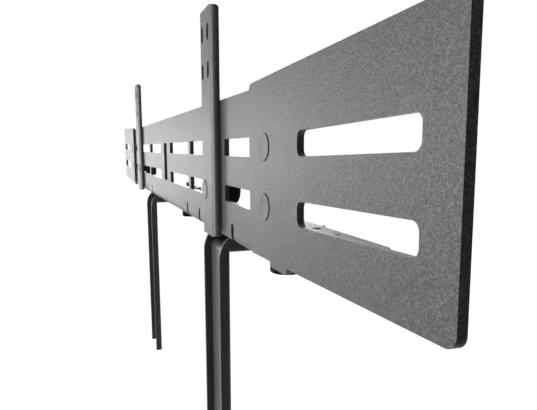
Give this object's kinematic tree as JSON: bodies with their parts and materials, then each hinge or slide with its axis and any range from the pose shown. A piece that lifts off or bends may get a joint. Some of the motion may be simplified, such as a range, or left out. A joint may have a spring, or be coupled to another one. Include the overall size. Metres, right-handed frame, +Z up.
{
  "type": "soundbar bracket",
  "caption": "Black steel bracket that hangs a soundbar under a television: slotted telescoping plates, two upright screw channels and two hanging channel arms with clamp knobs.",
  "frame": {"origin": "centre of the inner plate's slot pattern, on its front face", "axes": "+X along the plates towards the right, +Y through the plates towards the flange and knobs, away from the television, +Z up the uprights"},
  "size_m": [0.864, 0.087, 0.361],
  "materials": {
    "powder_coat": "fine-textured black powder coat",
    "coated_stud": "black powder coat over pressed-in steel studs",
    "zinc_plate": "bright zinc plating",
    "knob_plastic": "matte black moulded nylon",
    "insert_brass": "plain turned brass"
  },
  "bodies": {
    "frame": {"inner_plate": "powder_coat", "arm_right": "powder_coat", "arm_left": "powder_coat", "arm_bolt_right": "zinc_plate", "arm_bolt_left": "zinc_plate", "arm_washer_right": "zinc_plate", "arm_washer_left": "zinc_plate"},
    "outer_right": {"outer_plate_right": "powder_coat", "outer_studs_right": "coated_stud", "outer_washers_right": "zinc_plate", "outer_nuts_right": "zinc_plate"},
    "outer_left": {"outer_plate_left": "powder_coat", "outer_studs_left": "coated_stud", "outer_washers_left": "zinc_plate", "outer_nuts_left": "zinc_plate"},
    "channel_right": {"upright_right": "powder_coat", "upright_stud_right": "coated_stud", "upright_washer_right": "zinc_plate"},
    "channel_left": {"upright_left": "powder_coat", "upright_stud_left": "coated_stud", "upright_washer_left": "zinc_plate"},
    "channel_clamp_right": {"upright_knob_right": "knob_plastic", "upright_insert_right": "insert_brass"},
    "channel_clamp_left": {"upright_knob_left": "knob_plastic", "upright_insert_left": "insert_brass"},
    "arm_clamp_right": {"arm_knob_right": "knob_plastic", "arm_insert_right": "insert_brass"},
    "arm_clamp_left": {"arm_knob_left": "knob_plastic", "arm_insert_left": "insert_brass"}
  },
  "joints": [
    {"name": "outer_slide_right", "type": "slide", "parent": "frame", "child": "outer_right", "axis": [1, 0, 0], "range_m": [-0.05, 0.002]},
    {"name": "outer_slide_left", "type": "slide", "parent": "frame", "child": "outer_left", "axis": [-1, 0, 0], "range_m": [-0.05, 0.002]},
    {"name": "upright_slide_right", "type": "slide", "parent": "frame", "child": "channel_right", "axis": [1, 0, 0], "range_m": [-0.06, 0.008]},
    {"name": "upright_slide_left", "type": "slide", "parent": "frame", "child": "channel_left", "axis": [-1, 0, 0], "range_m": [-0.06, 0.008]},
    {"name": "upright_knob_turn_right", "type": "hinge", "parent": "channel_right", "child": "channel_clamp_right", "pos_m": [0.193, 0.0083, -0.01375], "axis": [0, 1, 0], "continuous": true},
    {"name": "upright_knob_turn_left", "type": "hinge", "parent": "channel_left", "child": "channel_clamp_left", "pos_m": [-0.193, 0.0083, -0.01375], "axis": [0, 1, 0], "continuous": true},
    {"name": "arm_knob_turn_right", "type": "hinge", "parent": "frame", "child": "arm_clamp_right", "pos_m": [0.172, 0.0615, -0.0643], "axis": [0, 0, 1], "continuous": true},
    {"name": "arm_knob_turn_left", "type": "hinge", "parent": "frame", "child": "arm_clamp_left", "pos_m": [-0.172, 0.0615, -0.0643], "axis": [0, 0, 1], "continuous": true}
  ]
}
